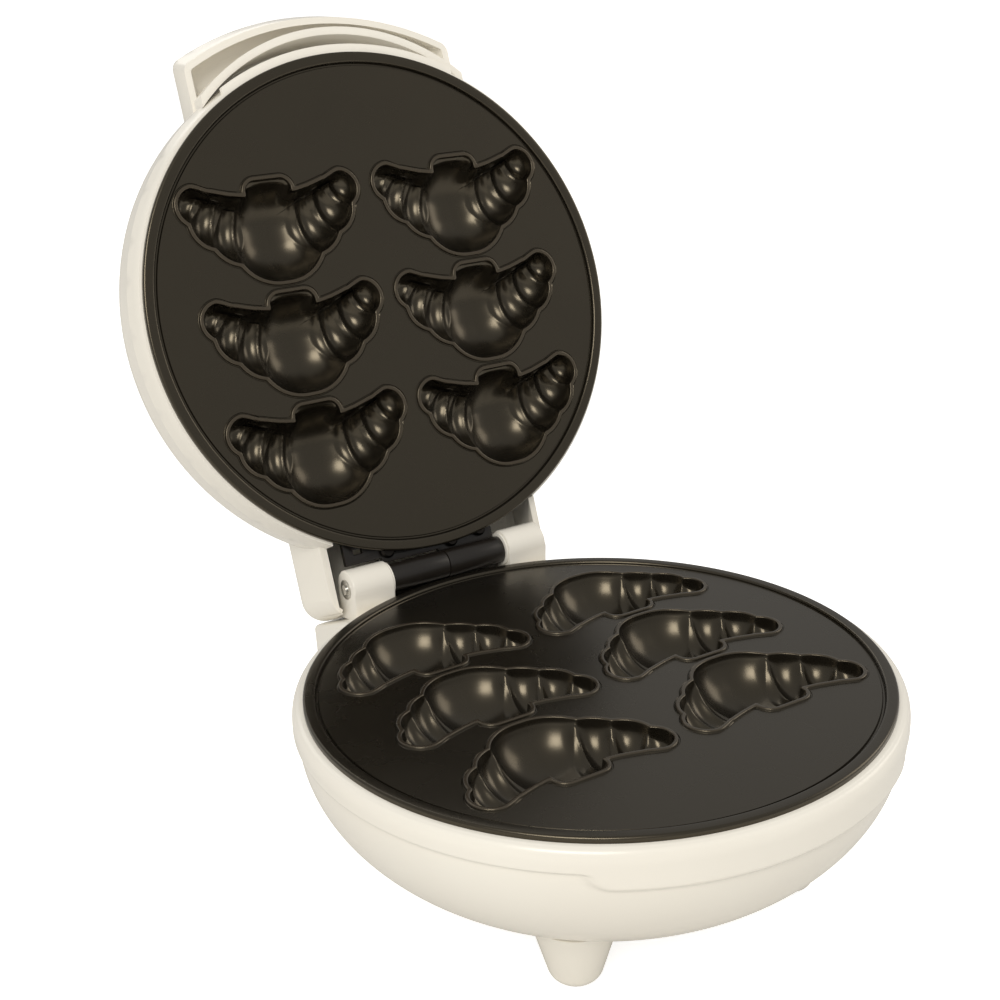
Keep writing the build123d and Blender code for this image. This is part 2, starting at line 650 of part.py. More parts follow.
with BuildPart() as thermal_fuse:
    with BuildSketch(side_of(SEAM)):
        with Locations((FUSE_Y, plate_back - FUSE_R)):
            Circle(FUSE_R)
    extrude(amount=FUSE_L / 2, both=True)
    with BuildSketch(side_of(SEAM)):
        with Locations((FUSE_Y, plate_back - FUSE_R)):
            Circle(FUSE_R / 4)
    extrude(amount=FUSE_L, both=True)
finish(thermal_fuse, "thermal_fuse")

# Terminal block on the floor of the hinge box
with BuildPart() as terminal_block:
    with BuildSketch(SEAM.offset(BOX_BASE + WALL)):
        with Locations(BLOCK_AT):
            Rectangle(BLOCK[0], BLOCK[1])
    extrude(amount=BLOCK[2])
    fillet(terminal_block.faces().sort_by(Axis.Z)[-1].edges(), EDGE)
    with BuildSketch(side_of(SEAM)):
        with Locations((BLOCK_AT[1], BOX_BASE + WALL + BLOCK[2] / 2)):
            Circle(SCREW_R)
    extrude(amount=BLOCK[0] * 2, both=True, mode=Mode.SUBTRACT)
finish(terminal_block, "terminal_block")

# Hinge: the base leaf with the left half of the barrel
with BuildPart() as base_hinge_leaf:
    with BuildSketch(side_of(SEAM, -KNUCKLE_END)):
        with Locations((HINGE_BACK, HINGE_UP)):
            Circle(KNUCKLE_R)
    extrude(amount=KNUCKLE_END - KNUCKLE_GAP / 2)
    with BuildSketch(side_of(SEAM, -KNUCKLE_END)):
        Polygon((leaf_front, -RIB_DEEP), (leaf_front + LEAF_T, -RIB_DEEP), (leaf_front + LEAF_T, HINGE_UP),
                (leaf_front, HINGE_UP), align=None)
    extrude(amount=KNUCKLE_END - KNUCKLE_GAP / 2)
    with BuildSketch(side_of(SEAM, -KNUCKLE_END)):
        Polygon((leaf_front, -RIB_DEEP), (leaf_front + LEAF_T, -RIB_DEEP),
                (leaf_front + LEAF_T, HINGE_UP - KNUCKLE_R - 2 * FIT),
                (leaf_front, HINGE_UP - KNUCKLE_R - 2 * FIT), align=None)
    extrude(amount=2 * KNUCKLE_END)
    with BuildSketch(side_of(SEAM)):
        with Locations((HINGE_BACK, HINGE_UP)):
            Circle(PIN_R + RUN_FIT)
    extrude(amount=EAR_OUT, both=True, mode=Mode.SUBTRACT)
    leaf_face = Plane(SEAM.origin + SEAM.y_dir * leaf_front, x_dir=SEAM.x_dir, z_dir=-SEAM.y_dir)
    with BuildSketch(leaf_face):
        with Locations((-LEAF_X, LEAF_SCREW_Z), (LEAF_X, LEAF_SCREW_Z)):
            Circle(SCREW_R + FIT / 2)
    extrude(amount=-LEAF_T, mode=Mode.SUBTRACT)
finish(base_hinge_leaf, "base_hinge_leaf")

leaf_seats = [Plane(leaf_face.from_local_coords((x, LEAF_SCREW_Z, 0)), x_dir=SEAM.x_dir, z_dir=-SEAM.y_dir)
              for x in (-LEAF_X, LEAF_X)]
base_leaf_screws = screw_group(leaf_seats, LEAF_T + RIB_T + FIT)
finish(base_leaf_screws, "base_leaf_screws")

# Bushes that fill the open mouths of the hinge ears
with BuildPart() as hinge_bushes:
    for side in (-1, 1):
        inner = side_of(SEAM, side * (EAR_IN - BUSH_FLANGE_T))
        with BuildSketch(inner):
            with Locations((HINGE_BACK, HINGE_UP)):
                Circle(BUSH_FLANGE_R)
        extrude(amount=side * BUSH_FLANGE_T)
        with BuildSketch(inner):
            with Locations((HINGE_BACK, HINGE_UP)):
                Circle(EAR_R - EAR_WALL - FIT / 3)
        extrude(amount=side * (EAR_OUT - EAR_END - EAR_IN + BUSH_FLANGE_T - FIT))
    with BuildSketch(side_of(SEAM)):
        with Locations((HINGE_BACK, HINGE_UP)):
            Circle(PIN_R + RUN_FIT)
    extrude(amount=EAR_OUT, both=True, mode=Mode.SUBTRACT)
finish(hinge_bushes, "hinge_bushes")

with BuildPart() as hinge_pin:
    with BuildSketch(side_of(SEAM)):
        with Locations((HINGE_BACK, HINGE_UP)):
            Circle(PIN_R)
    extrude(amount=EAR_OUT + 2 * CLIP_T, both=True)
finish(hinge_pin, "hinge_pin")

with BuildPart() as pin_clips:
    for side in (-1, 1):
        with BuildSketch(side_of(SEAM, side * EAR_OUT)):
            with Locations((HINGE_BACK, HINGE_UP)):
                Circle(CLIP_R)
                Circle(PIN_R, mode=Mode.SUBTRACT)
        extrude(amount=side * CLIP_T)
finish(pin_clips, "pin_clips")

# Lid housing. Heights are measured from the lid seam into the lid, whatever its angle.
lid_up = axis_of(LID)
lid_back = Axis(LID.origin, LID.y_dir)
LID_LEDGE_R = LID_PLATE_R - RING_W
SHOULDER_AT = LID_R - LID_ROUND
SHOULDER_RISE = LID_H - LID_SHOULDER
CROWN_R = (SHOULDER_AT ** 2 + SHOULDER_RISE ** 2 - LID_ROUND ** 2) / (2 * (SHOULDER_RISE - LID_ROUND))
crown_angle = degrees(atan2(LID_SHOULDER - LID_H + CROWN_R, SHOULDER_AT))
lid_box_low = LID_BOX_REAR
lid_box_top = LID_BOX_REAR + (LID_BOX_H - CHEEK_LOW) * tan(radians(REAR_DRAFT))


def dome_top(inset):
    """Rounded shoulder and shallow crown of the lid, down from its axis to its side."""
    return [CenterArc((SHOULDER_AT, LID_SHOULDER), LID_ROUND - inset, 0, crown_angle),
            CenterArc((0, LID_H - CROWN_R), CROWN_R - inset, crown_angle, 90 - crown_angle)]


def lid_rectangle(height, half_width, front, rear):
    """Rectangle at a height in the lid, from one distance back to another."""
    with BuildSketch(LID.offset(height)) as outline:
        with Locations((0, (front + rear) / 2)):
            Rectangle(2 * half_width, rear - front)
    return outline.sketch


with BuildPart() as dome_form:
    with BuildSketch(section_of(LID)):
        with BuildLine():
            Polyline((0, LID_H), (0, 0), (EDGE_R, 0), (LID_R, FLARE_H), (LID_R, LID_SHOULDER))
            dome_top(0)
        make_face()
    revolve(axis=lid_up)

with BuildPart() as dome_void:
    with BuildSketch(section_of(LID)):
        with BuildLine():
            Polyline((0, LID_H - WALL), (0, -WALL), (LID_LEDGE_R, -WALL), (LID_LEDGE_R, LEDGE_T),
                     (EDGE_R - WALL, LEDGE_T), (LID_R - WALL, FLARE_H), (LID_R - WALL, LID_SHOULDER))
            dome_top(WALL)
        make_face()
    revolve(axis=lid_up)

with BuildPart() as lid_box_form:
    add(lid_rectangle(CHEEK_LOW, CHEEK_HALF_LOW, BOX_FRONT - LID_H, lid_box_low))
    add(lid_rectangle(LID_BOX_H, CHEEK_HALF_TOP, BOX_FRONT - LID_H, lid_box_top))
    loft()
    rear_face = lid_box_form.faces().sort_by(lid_back)[-1]
    fillet(rear_face.edges().filter_by(Axis.X, reverse=True), LID_BOX_ROUND)
    top_face = lid_box_form.faces().sort_by(lid_up)[-1]
    fillet(top_face.edges().sort_by(lid_back)[1:], LID_BOX_ROUND - EDGE)

with BuildPart() as lid_box_void:
    box_wall = WALL / cos(radians(REAR_DRAFT))
    add(lid_rectangle(0, CHEEK_HALF_LOW - CHEEK_WALL, BOX_FRONT - LID_H, lid_box_low - box_wall))
    add(lid_rectangle(LID_BOX_H - WALL, CHEEK_HALF_TOP - CHEEK_WALL, BOX_FRONT - LID_H, lid_box_top - box_wall))
    loft()

# Handle: a flaring visor, hollow underneath, with a flatter grip wall inside it
def handle_form(inset, low, top):
    """Flaring front of the handle between two heights, cut off square at both ends."""
    flare = (HANDLE_R - HANDLE_LOW_R) / (HANDLE_TOP - HANDLE_LOW)
    low_r = HANDLE_LOW_R + flare * (low - HANDLE_LOW) - inset
    with BuildPart() as form:
        with BuildSketch(section_of(LID)):
            Polygon((0, low), (low_r, low), (low_r + flare * (top - low), top), (0, top), align=None)
        revolve(axis=lid_up)
        with BuildSketch(LID.offset(low)):
            with Locations((0, -HANDLE_R)):
                Rectangle(2 * (HANDLE_HALF - inset), 2 * (HANDLE_R - GRIP_R))
        extrude(amount=top - low, mode=Mode.INTERSECT)
        corners = form.edges().group_by(lid_up)[1].sort_by(lid_back)[:2]
        fillet(corners, WALL + 2 * EDGE - inset)
    return form


visor = handle_form(0, HANDLE_LOW, HANDLE_TOP)
with visor:
    fillet(visor.faces().sort_by(lid_up)[-1].edges().sort_by(lid_back)[:-1], WALL)

pocket = handle_form(WALL, HANDLE_LOW - EDGE, HANDLE_TOP - WALL)
with pocket:
    add(dome_form, mode=Mode.SUBTRACT)

with BuildPart() as lid_housing:
    add(dome_form)
    add(lid_box_form)
    add(visor)
    add(pocket, mode=Mode.SUBTRACT)
    with BuildSketch(LID.offset(GRIP_LOW)):
        with Locations((0, GRIP_Y)):
            Circle(GRIP_R + GRIP_T)
            Circle(GRIP_R, mode=Mode.SUBTRACT)
        with Locations((0, -HANDLE_R)):
            Rectangle(2 * HANDLE_HALF - 2 * EDGE, 2 * (HANDLE_R - GRIP_R) - 2 * EDGE, mode=Mode.INTERSECT)
    extrude(amount=HANDLE_TOP - WALL - GRIP_LOW + EDGE)
    with BuildSketch(LID):
        Circle(STRIP_R)
        with Locations((0, -HANDLE_R)):
            Rectangle(2 * STRIP_R * sin(radians(STRIP_HALF_ANGLE)), 2 * (HANDLE_R - GRIP_R), mode=Mode.INTERSECT)
    extrude(amount=STRIP_T)
    add(dome_void, mode=Mode.SUBTRACT)
    add(lid_box_void, mode=Mode.SUBTRACT)
    # gap behind the plate for the hinge, and the rear wall cut short above the base ears
    with BuildSketch(LID.offset(-EDGE)):
        with Locations((0, HINGE_BACK)):
            Rectangle(2 * REAR_OPENING, 2 * (HINGE_BACK - BOX_FRONT))
    extrude(amount=CHEEK_LOW + 2 * EDGE, mode=Mode.SUBTRACT)
    with BuildSketch(LID.offset(CHEEK_LOW - EDGE)):
        with Locations((0, LID_BOX_REAR)):
            Rectangle(2 * (CHEEK_HALF_LOW - CHEEK_WALL), 4 * EAR_R / 3)
    extrude(amount=REAR_CUT - CHEEK_LOW + EDGE, mode=Mode.SUBTRACT)
    add(shelf_set(LID_FACE, LID_R - WALL / 2, LID_LEDGE_R + EDGE))
    # columns for the lid leaf
    panel_top = PANEL_LOW + LEAF_T
    with BuildSketch(LID.offset(panel_top)):
        with Locations(*PANEL_SCREWS):
            Circle(BOSS_R - FIT)
    extrude(amount=LID_BOX_H - WALL / 2 - panel_top)
    with BuildSketch(LID.offset(panel_top)):
        with Locations(*PANEL_SCREWS):
            Circle(SCREW_R)
    extrude(amount=SHANK_L + EDGE, mode=Mode.SUBTRACT)
    # holes for the two lamps
    with BuildSketch(LID.offset(LID_H)):
        with Locations((-LAMP_X, LAMP_Y), (LAMP_X, LAMP_Y)):
            Circle(LAMP_R)
    extrude(amount=-3 * WALL, mode=Mode.SUBTRACT)
finish(lid_housing, "lid_housing")

lid_seats = [Plane(LID_FACE.from_local_coords((x, y, -LUG_DEEP - SHELF_T)), x_dir=LID_FACE.x_dir,
             z_dir=-LID_FACE.z_dir) for x, y in lug_spots]
lid_plate_screws = screw_group(lid_seats, SHELF_T + SHANK_L)
finish(lid_plate_screws, "lid_plate_screws")
finish(heating_element(LID_FACE), "lid_heating_element")
finish(reflector(LID_FACE), "lid_reflector")
finish(pan_screws(LID_FACE), "lid_reflector_screws")

# Hinge: the lid leaf, a dark panel under the lid with the right half of the barrel
with BuildPart() as lid_hinge_leaf:
    with BuildSketch(LID.offset(PANEL_LOW)):
        with Locations(((KNUCKLE_END - PANEL_LEFT) / 2, (HINGE_BACK + BOX_FRONT) / 2)):
            Rectangle(KNUCKLE_END + PANEL_LEFT, HINGE_BACK - BOX_FRONT)
        Circle(LID_LEDGE_R + FIT, mode=Mode.SUBTRACT)
        with Locations((-PANEL_LEFT, HINGE_BACK)):
            Rectangle(2 * (PANEL_LEFT + KNUCKLE_GAP / 2), 2 * (KNUCKLE_R + 2 * FIT), mode=Mode.SUBTRACT)
            Rectangle(2 * (PANEL_LEFT - KNUCKLE_END + FIT), 2 * (EAR_R + 2 * FIT), mode=Mode.SUBTRACT)
        with Locations(PANEL_HOLE):
            Rectangle(PANEL_HOLE_W, PANEL_HOLE_W / 2, mode=Mode.SUBTRACT)
        with Locations(*PANEL_SCREWS):
            Circle(SCREW_R + FIT / 2, mode=Mode.SUBTRACT)
    extrude(amount=LEAF_T)
    with BuildSketch(side_of(LID, KNUCKLE_GAP / 2)):
        with Locations((HINGE_BACK, HINGE_IN_LID)):
            Circle(KNUCKLE_R)
    extrude(amount=KNUCKLE_END - KNUCKLE_GAP / 2)
    with BuildSketch(side_of(LID)):
        with Locations((HINGE_BACK, HINGE_IN_LID)):
            Circle(PIN_R + RUN_FIT)
    extrude(amount=EAR_OUT, both=True, mode=Mode.SUBTRACT)
finish(lid_hinge_leaf, "lid_hinge_leaf")

panel_seats = [Plane(LID.from_local_coords((x, y, PANEL_LOW)), x_dir=LID.x_dir, z_dir=-LID.z_dir)
               for x, y in PANEL_SCREWS]
lid_leaf_screws = screw_group(panel_seats, LEAF_T + SHANK_L)
finish(lid_leaf_screws, "lid_leaf_screws")

# Two lamps in the crown of the lid: domed lenses over small bulbs
lamp_seat = LID_H - (LAMP_X ** 2 + LAMP_Y ** 2) / (2 * CROWN_R)
for side, name in ((-1, "power_lens"), (1, "ready_lens")):
    lamp = Plane(LID.from_local_coords((side * LAMP_X, LAMP_Y, lamp_seat)), x_dir=LID.x_dir, z_dir=LID.z_dir)
    with BuildPart() as lens:
        with BuildSketch(section_of(lamp)):
            with BuildLine():
                Polyline((LAMP_R, 0), (LAMP_R, -WALL - EDGE), (LAMP_R + EDGE, -WALL - EDGE),
                         (LAMP_R + EDGE, -WALL - 2 * EDGE), (0, -WALL - 2 * EDGE), (0, EDGE))
                ThreePointArc((0, EDGE), (2 * LAMP_R / 3, 2 * EDGE / 3), (LAMP_R, 0))
            make_face()
        revolve(axis=axis_of(lamp))
    finish(lens, name)

with BuildPart() as lamp_bulbs:
    for side in (-1, 1):
        lamp = Plane(LID.from_local_coords((side * LAMP_X, LAMP_Y, lamp_seat - WALL - 2 * EDGE)),
                     x_dir=LID.x_dir, z_dir=-LID.z_dir)
        with BuildSketch(lamp):
            Circle(LAMP_R - EDGE)
        extrude(amount=2 * LAMP_R)
finish(lamp_bulbs, "lamp_bulbs")
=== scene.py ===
from math import asin, cos, degrees, pi, radians, sin, sqrt

import bpy
import numpy as np
from mathutils import Matrix, Vector


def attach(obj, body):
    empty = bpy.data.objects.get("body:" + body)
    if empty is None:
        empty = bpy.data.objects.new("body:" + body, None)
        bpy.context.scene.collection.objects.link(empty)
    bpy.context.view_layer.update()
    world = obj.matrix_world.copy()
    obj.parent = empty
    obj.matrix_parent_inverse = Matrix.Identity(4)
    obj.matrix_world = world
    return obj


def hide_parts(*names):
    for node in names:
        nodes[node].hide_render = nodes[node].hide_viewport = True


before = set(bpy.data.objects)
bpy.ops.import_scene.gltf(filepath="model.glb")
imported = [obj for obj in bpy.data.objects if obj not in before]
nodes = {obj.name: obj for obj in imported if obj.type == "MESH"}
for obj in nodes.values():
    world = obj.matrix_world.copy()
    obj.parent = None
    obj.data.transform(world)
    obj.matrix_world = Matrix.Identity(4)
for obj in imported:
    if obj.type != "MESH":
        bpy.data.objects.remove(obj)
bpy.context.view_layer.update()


# Camera: stands to the left of the open cooker and looks slightly down on it.
# A lens of about 55 mm on a full frame, level but for a slight tilt to one side.
camera_data = bpy.data.cameras.new("camera")
camera_data.sensor_width = 36.0
camera_data.lens = 54.99
camera_data.clip_end = 60.0
camera = bpy.data.objects.new("camera", camera_data)
camera.location = (-0.26505, -0.43500, 0.31625)
camera.rotation_euler = (radians(69.035), radians(1.818), radians(-31.519))
bpy.context.scene.collection.objects.link(camera)
bpy.context.scene.camera = camera


def colour(hex_value):
    """Linear colour of an sRGB hex value such as "#F3EEE1"."""
    parts = [int(hex_value[i:i + 2], 16) / 255 for i in (1, 3, 5)]
    return tuple(c / 12.92 if c <= 0.04045 else ((c + 0.055) / 1.055) ** 2.4 for c in parts) + (1.0,)


def add_node(tree, kind, links=(), **settings):
    """One shader node: settings are its properties or the names of its sockets, links join it to others."""
    node = tree.nodes.new(kind)
    for name, value in settings.items():
        if hasattr(node, name):
            setattr(node, name, value)
        else:
            node.inputs[name.replace("_", " ")].default_value = value
    for source, target in links:
        tree.links.new(source, node.inputs[target])
    return node


def deselect():
    """Leaves edit mode with nothing selected."""
    if bpy.context.object and bpy.context.object.mode != "OBJECT":
        bpy.ops.object.mode_set(mode="OBJECT")
    bpy.ops.object.select_all(action="DESELECT")


# Floor and light: a white table top that runs out of sight, under a large soft light
# from the upper left and a weaker one from the right, in a bright room.
deselect()
bpy.ops.mesh.primitive_plane_add(size=40.0)
floor = bpy.context.object
floor.name = "floor"
table_white = bpy.data.materials.new("white_table_top")
table_white.use_nodes = True
table_shader = table_white.node_tree.nodes["Principled BSDF"]
table_shader.inputs["Base Color"].default_value = colour("#E6E5E3")
table_shader.inputs["Roughness"].default_value = 0.7
# the camera sees the table a little lighter than the light alone makes it, as in a cleaned studio photo
seen = add_node(table_white.node_tree, "ShaderNodeLightPath")
glow = add_node(table_white.node_tree, "ShaderNodeMath", [(seen.outputs["Is Camera Ray"], 0)],
                operation="MULTIPLY")
glow.inputs[1].default_value = 0.75
table_white.node_tree.links.new(glow.outputs["Value"], table_shader.inputs["Emission Strength"])
table_shader.inputs["Emission Color"].default_value = (1.0, 1.0, 1.0, 1.0)
floor.data.materials.append(table_white)

room = bpy.data.worlds.new("room")
bpy.context.scene.world = room
room.use_nodes = True
room.node_tree.nodes["Background"].inputs["Color"].default_value = colour("#FBFAF8")
# what glossy faces mirror is a little darker than the light that the room gives
ray = add_node(room.node_tree, "ShaderNodeLightPath")
lift = add_node(room.node_tree, "ShaderNodeMapRange", [(ray.outputs["Is Glossy Ray"], "Value")],
                To_Min=0.56, To_Max=0.44)
room.node_tree.links.new(lift.outputs["Result"], room.node_tree.nodes["Background"].inputs["Strength"])


def soft_light(name, place, target, size, watts, tint):
    """A square area light that faces a point."""
    lamp = bpy.data.lights.new(name, "AREA")
    lamp.shape = "SQUARE"
    lamp.size = size
    lamp.energy = watts
    lamp.color = colour(tint)[:3]
    holder = bpy.data.objects.new(name, lamp)
    holder.location = place
    holder.rotation_euler = (Vector(target) - Vector(place)).to_track_quat("-Z", "Y").to_euler()
    bpy.context.scene.collection.objects.link(holder)


soft_light("key_light", (-0.85, -0.9, 1.1), (0.0, 0.0, 0.12), 0.7, 11.5, "#FFFAF0")
soft_light("fill_light", (1.5, -0.35, 0.8), (0.0, 0.0, 0.1), 0.9, 4.5, "#FFF6E8")
soft_light("rear_light", (0.1, 1.4, 1.1), (0.0, 0.1, 0.15), 0.9, 3.5, "#FFFBF4")
bpy.context.scene.view_settings.view_transform = "Standard"

# Seams: where the flat faces of base and lid meet when the cooker is closed. The lid turns on its hinge
# pin and stands open here, twenty degrees further back than upright. These places are in metres, and
# what is drawn on a seam is in millimetres. The lid's face has its seam turned over, so that up is out.
MM = Matrix.Scale(0.001, 4)
base_seam = Matrix.Translation((0.0, -0.05148, 0.072))
hinge_pin_at = (0.0, 0.05382, 0.0774)
lid_opening = radians(110.0)
pin_to_lid_seam = (0.0, -0.1053, -0.001)
lid_seam = (Matrix.Translation(hinge_pin_at) @ Matrix.Rotation(-lid_opening, 4, "X")
            @ Matrix.Translation(pin_to_lid_seam))
lid_face = lid_seam @ Matrix.Rotation(pi, 4, "Y")


def placed(piece, seam, name, body, material, node):
    """A piece drawn in millimetres goes to its seam, its body and its material, in a CAD node's stead."""
    piece.data.transform(seam @ MM)
    piece.name = name
    piece.data.materials.clear()
    piece.data.materials.append(material)
    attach(piece, body)
    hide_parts(node)
    return piece


def pick(piece):
    """Selects one piece alone and makes it the active one."""
    deselect()
    piece.select_set(True)
    bpy.context.view_layer.objects.active = piece


def smooth(piece, angle):
    """Shades a piece smooth, but for edges that are sharper than an angle in degrees."""
    pick(piece)
    bpy.ops.object.shade_smooth_by_angle(angle=radians(angle))


def blank_material(name):
    """A new material, with its node tree, its shader and the coordinates of the piece that wears it."""
    material = bpy.data.materials.new(name)
    material.use_nodes = True
    tree = material.node_tree
    return material, tree, tree.nodes["Principled BSDF"], add_node(tree, "ShaderNodeTexCoord")


def noise(tree, place, scale, detail):
    """A soft noise that stays put on a piece's own coordinates."""
    return add_node(tree, "ShaderNodeTexNoise", [(place.outputs["Object"], "Vector")],
                    Scale=scale, Detail=detail)


# Cooking plates: cast aluminium with a dark brown non-stick coating. Each has six croissant
# moulds of seven round lobes, a raised lip round every mould and a flat ring at its edge.
coating, tree, shader, place = blank_material("non_stick_coating")
shader.inputs["Base Color"].default_value = colour("#0C0A07")
shader.inputs["IOR"].default_value = 1.78
shader.inputs["Specular Tint"].default_value = colour("#FFF0D4")
grain = noise(tree, place, 2600.0, 3.0)
cloud = noise(tree, place, 45.0, 4.0)
gloss = add_node(tree, "ShaderNodeMapRange", [(cloud.outputs["Fac"], "Value")], To_Min=0.23, To_Max=0.32)
tree.links.new(gloss.outputs["Result"], shader.inputs["Roughness"])
pores = add_node(tree, "ShaderNodeBump", [(grain.outputs["Fac"], "Height")],
                 Strength=0.12, Distance=0.00005)
tree.links.new(pores.outputs["Normal"], shader.inputs["Normal"])

# The lip round each mould: the same coating, painted paler and browner all over as a painted highlight for
# the light that its raised round edge catches.
lip_highlight_coating = coating.copy()
lip_highlight_coating.name = "non_stick_coating_painted_lip_highlight"
lip_highlight_coating.node_tree.nodes["Principled BSDF"].inputs["Base Color"].default_value = colour("#2C261F")

# A lobe is given by its middle, its radius and its depth, and a crest between two lobes by its ends and
# its height. A mould's own x runs to its tips, and its y away from its hollow side. All in millimetres.
mould_lobes = ((1.5, 15.5, 16.6, 13.4), (13.4, 10.8, 12.9, 12.2),
               (22.2, 6.4, 10.4, 10.4), (29.4, 0.3, 6.7, 8.2))
mould_crests = ((11.6, -1.0, 15.7, 23.8, 2.6), (18.8, -3.0, 24.9, 16.4, 2.4),
                (25.7, -5.0, 32.4, 6.6, 1.8))
crest_reach, crest_round, crest_full_depth = 4.6, 0.2, 5.0
hollow_radius, centre_barrel, floor_climb = 70.0, 4.5, 3.8
notch_half_wide, notch_half_long, notch_middle, notch_round = 5.05, 3.2, 1.0, 4.2
mould_aside, mould_rows = 40.1, (39.8, -46.0, -3.1)
face_up, face_thick = 1.0, 16.0


def soft_max(a, b, reach):
    """Greater of two values, rounded where they cross."""
    near = np.maximum(reach - np.abs(a - b), 0.0) / reach
    return np.maximum(a, b) + near * near * reach / 4


def lobe_reach(x, y, lobe, barrel=0.0):
    """Distance from a lobe's middle. The centre lobe's is a short line, which a barrel makes a field."""
    aside, along = np.abs(x) - lobe[0], y - lobe[1]
    if lobe is mould_lobes[0]:
        aside, along = np.maximum(aside, 0), np.maximum(along, 0) + np.minimum(along + barrel, 0)
    return np.hypot(aside, along)


def notch_distance(x, y):
    """Distance from the rounded square notch, less than zero inside it."""
    aside, along = np.abs(x) - notch_half_wide, np.abs(y - notch_middle) - notch_half_long
    outside = np.hypot(np.maximum(aside, 0), np.maximum(along, 0))
    return outside + np.minimum(np.maximum(aside, along), 0) - notch_round


def hollow_distance(x, y):
    """Distance from the hollow side, less than zero on the mould's side of it."""
    return hollow_radius - np.hypot(x, y + hollow_radius)


def outline_distance(x, y):
    """Distance from a mould's outline, less than zero inside it."""
    far = np.full(x.shape, 1000.0)
    for lobe in mould_lobes:
        far = -soft_max(-far, lobe[2] - lobe_reach(x, y, lobe), reach=0.3)
    far = soft_max(far, hollow_distance(x, y), reach=0.6)
    return -soft_max(-far, -notch_distance(x, y), reach=0.8)


def mould_depth(x, y):
    """Depth of a mould below the plate's face, from its round lobes and its notch."""
    depth = np.full(x.shape, -6.0)
    for lobe in mould_lobes:
        radius, deep = lobe[2:]
        ball = (radius ** 2 + deep ** 2) / (2 * deep)
        reached = lobe_reach(x, y, lobe, centre_barrel)
        cup = deep - ball + np.sqrt(np.maximum(ball ** 2 - reached ** 2, 0.0))
        depth = soft_max(depth, cup, reach=0.45)
    # its floor climbs in a round to the hollow side and to the walls of the notch
    inside = soft_max(-hollow_distance(x, y), -notch_distance(x, y), reach=4.0)
    depth = np.maximum(depth, 0) * np.sqrt(1 - (1 - np.clip(inside / floor_climb, 0, 1)) ** 2)
    # the turns of the croissant: a crest between each lobe and the next
    for x_low, y_low, x_high, y_high, height in mould_crests:
        lean = (x_high - x_low) / (y_high - y_low)
        across = (np.abs(x) - x_low - lean * (y - y_low)) / sqrt(1 + lean ** 2)
        near = np.clip(1 - np.sqrt(across ** 2 + crest_round ** 2) / crest_reach, 0, 1)
        depth = depth - height * near ** 2 * np.clip(depth / crest_full_depth, 0, 1)
    return depth


# Rings of points run round a mould. On its lip they have a distance out from the outline and a height
# above the plate's face, on its wall a distance in, and on its floor a share of the way from the middle.
lip_rings = ((2.2, 0.0), (2.08, 0.0), (1.98, -0.1), (1.8, -0.2), (1.62, -0.14), (1.5, 0.1), (1.42, 0.5),
             (1.3, 0.72), (1.1, 0.8), (0.75, 0.8), (0.35, 0.8), (0.15, 0.72), (0.04, 0.55), (0.0, 0.35))
wall_rings = (0.05, 0.12, 0.22, 0.35, 0.5, 0.7, 0.95, 1.25, 1.6, 2.1)
floor_rings = [1 - 0.013 * i for i in range(1, 54)] + [0.28, 0.24, 0.2, 0.15, 0.1, 0.05, 0.0]
wall_top, wall_run = 0.4, 0.3
ring_middle, around = 8.0, 344


def mould_rings():
    """Points of one mould, ring by ring from its lip to its middle."""
    turns = np.linspace(-pi / 2, 1.5 * pi, 4001)
    reach = np.linspace(0, 50, 501)
    cast = outline_distance(np.outer(np.cos(turns), reach), ring_middle + np.outer(np.sin(turns), reach))

    def crossing(distances, level):
        """How far out along each ray the distance from the outline last passes a level."""
        last = distances.shape[1] - 1 - np.argmax((distances < level)[:, ::-1], axis=1)
        low, high = (distances[np.arange(len(last)), last + i] for i in (0, 1))
        return reach[last] + (level - low) / (high - low) * (reach[1] - reach[0])

    edge = crossing(cast, 0.0)
    x, y = edge * np.cos(turns), edge * np.sin(turns)
    length = np.concatenate([[0], np.cumsum(np.hypot(np.diff(x), np.diff(y)))])
    turns = np.interp(np.linspace(0, length[-1], around + 1), length, turns)
    cos_t, sin_t = np.cos(turns), np.sin(turns)
    cast = outline_distance(np.outer(cos_t, reach), ring_middle + np.outer(sin_t, reach))
    rows = []
    for level, height in lip_rings:
        r = crossing(cast, level)
        rows.append((r * cos_t, ring_middle + r * sin_t, np.full(around + 1, height)))
    walls = [crossing(cast, -level) for level in wall_rings]
    for r, level in zip(walls, wall_rings):
        x, y = r * cos_t, ring_middle + r * sin_t
        rows.append((x, y, wall_top - (wall_top + mould_depth(x, y)) * min(level / wall_run, 1.0) ** 0.7))
    for share in floor_rings:
        r = walls[-1] * share
        x, y = r * cos_t, ring_middle + r * sin_t
        rows.append((x, y, -mould_depth(x, y)))
    return np.array(rows).transpose(0, 2, 1)


def in_edit(piece):
    """Opens one piece alone in edit mode."""
    pick(piece)
    bpy.ops.object.mode_set(mode="EDIT")


def out_of_edit():
    """Points all faces of the open piece outwards and leaves edit mode."""
    bpy.ops.mesh.select_all(action="SELECT")
    bpy.ops.mesh.normals_make_consistent(inside=False)
    bpy.ops.object.mode_set(mode="OBJECT")


def drawn(points):
    """A piece that is only a closed line of points so far."""
    mesh = bpy.data.meshes.new("line")
    mesh.from_pydata(points, [(i, (i + 1) % len(points)) for i in range(len(points))], [])
    piece = bpy.data.objects.new("line", mesh)
    bpy.context.scene.collection.objects.link(piece)
    return piece


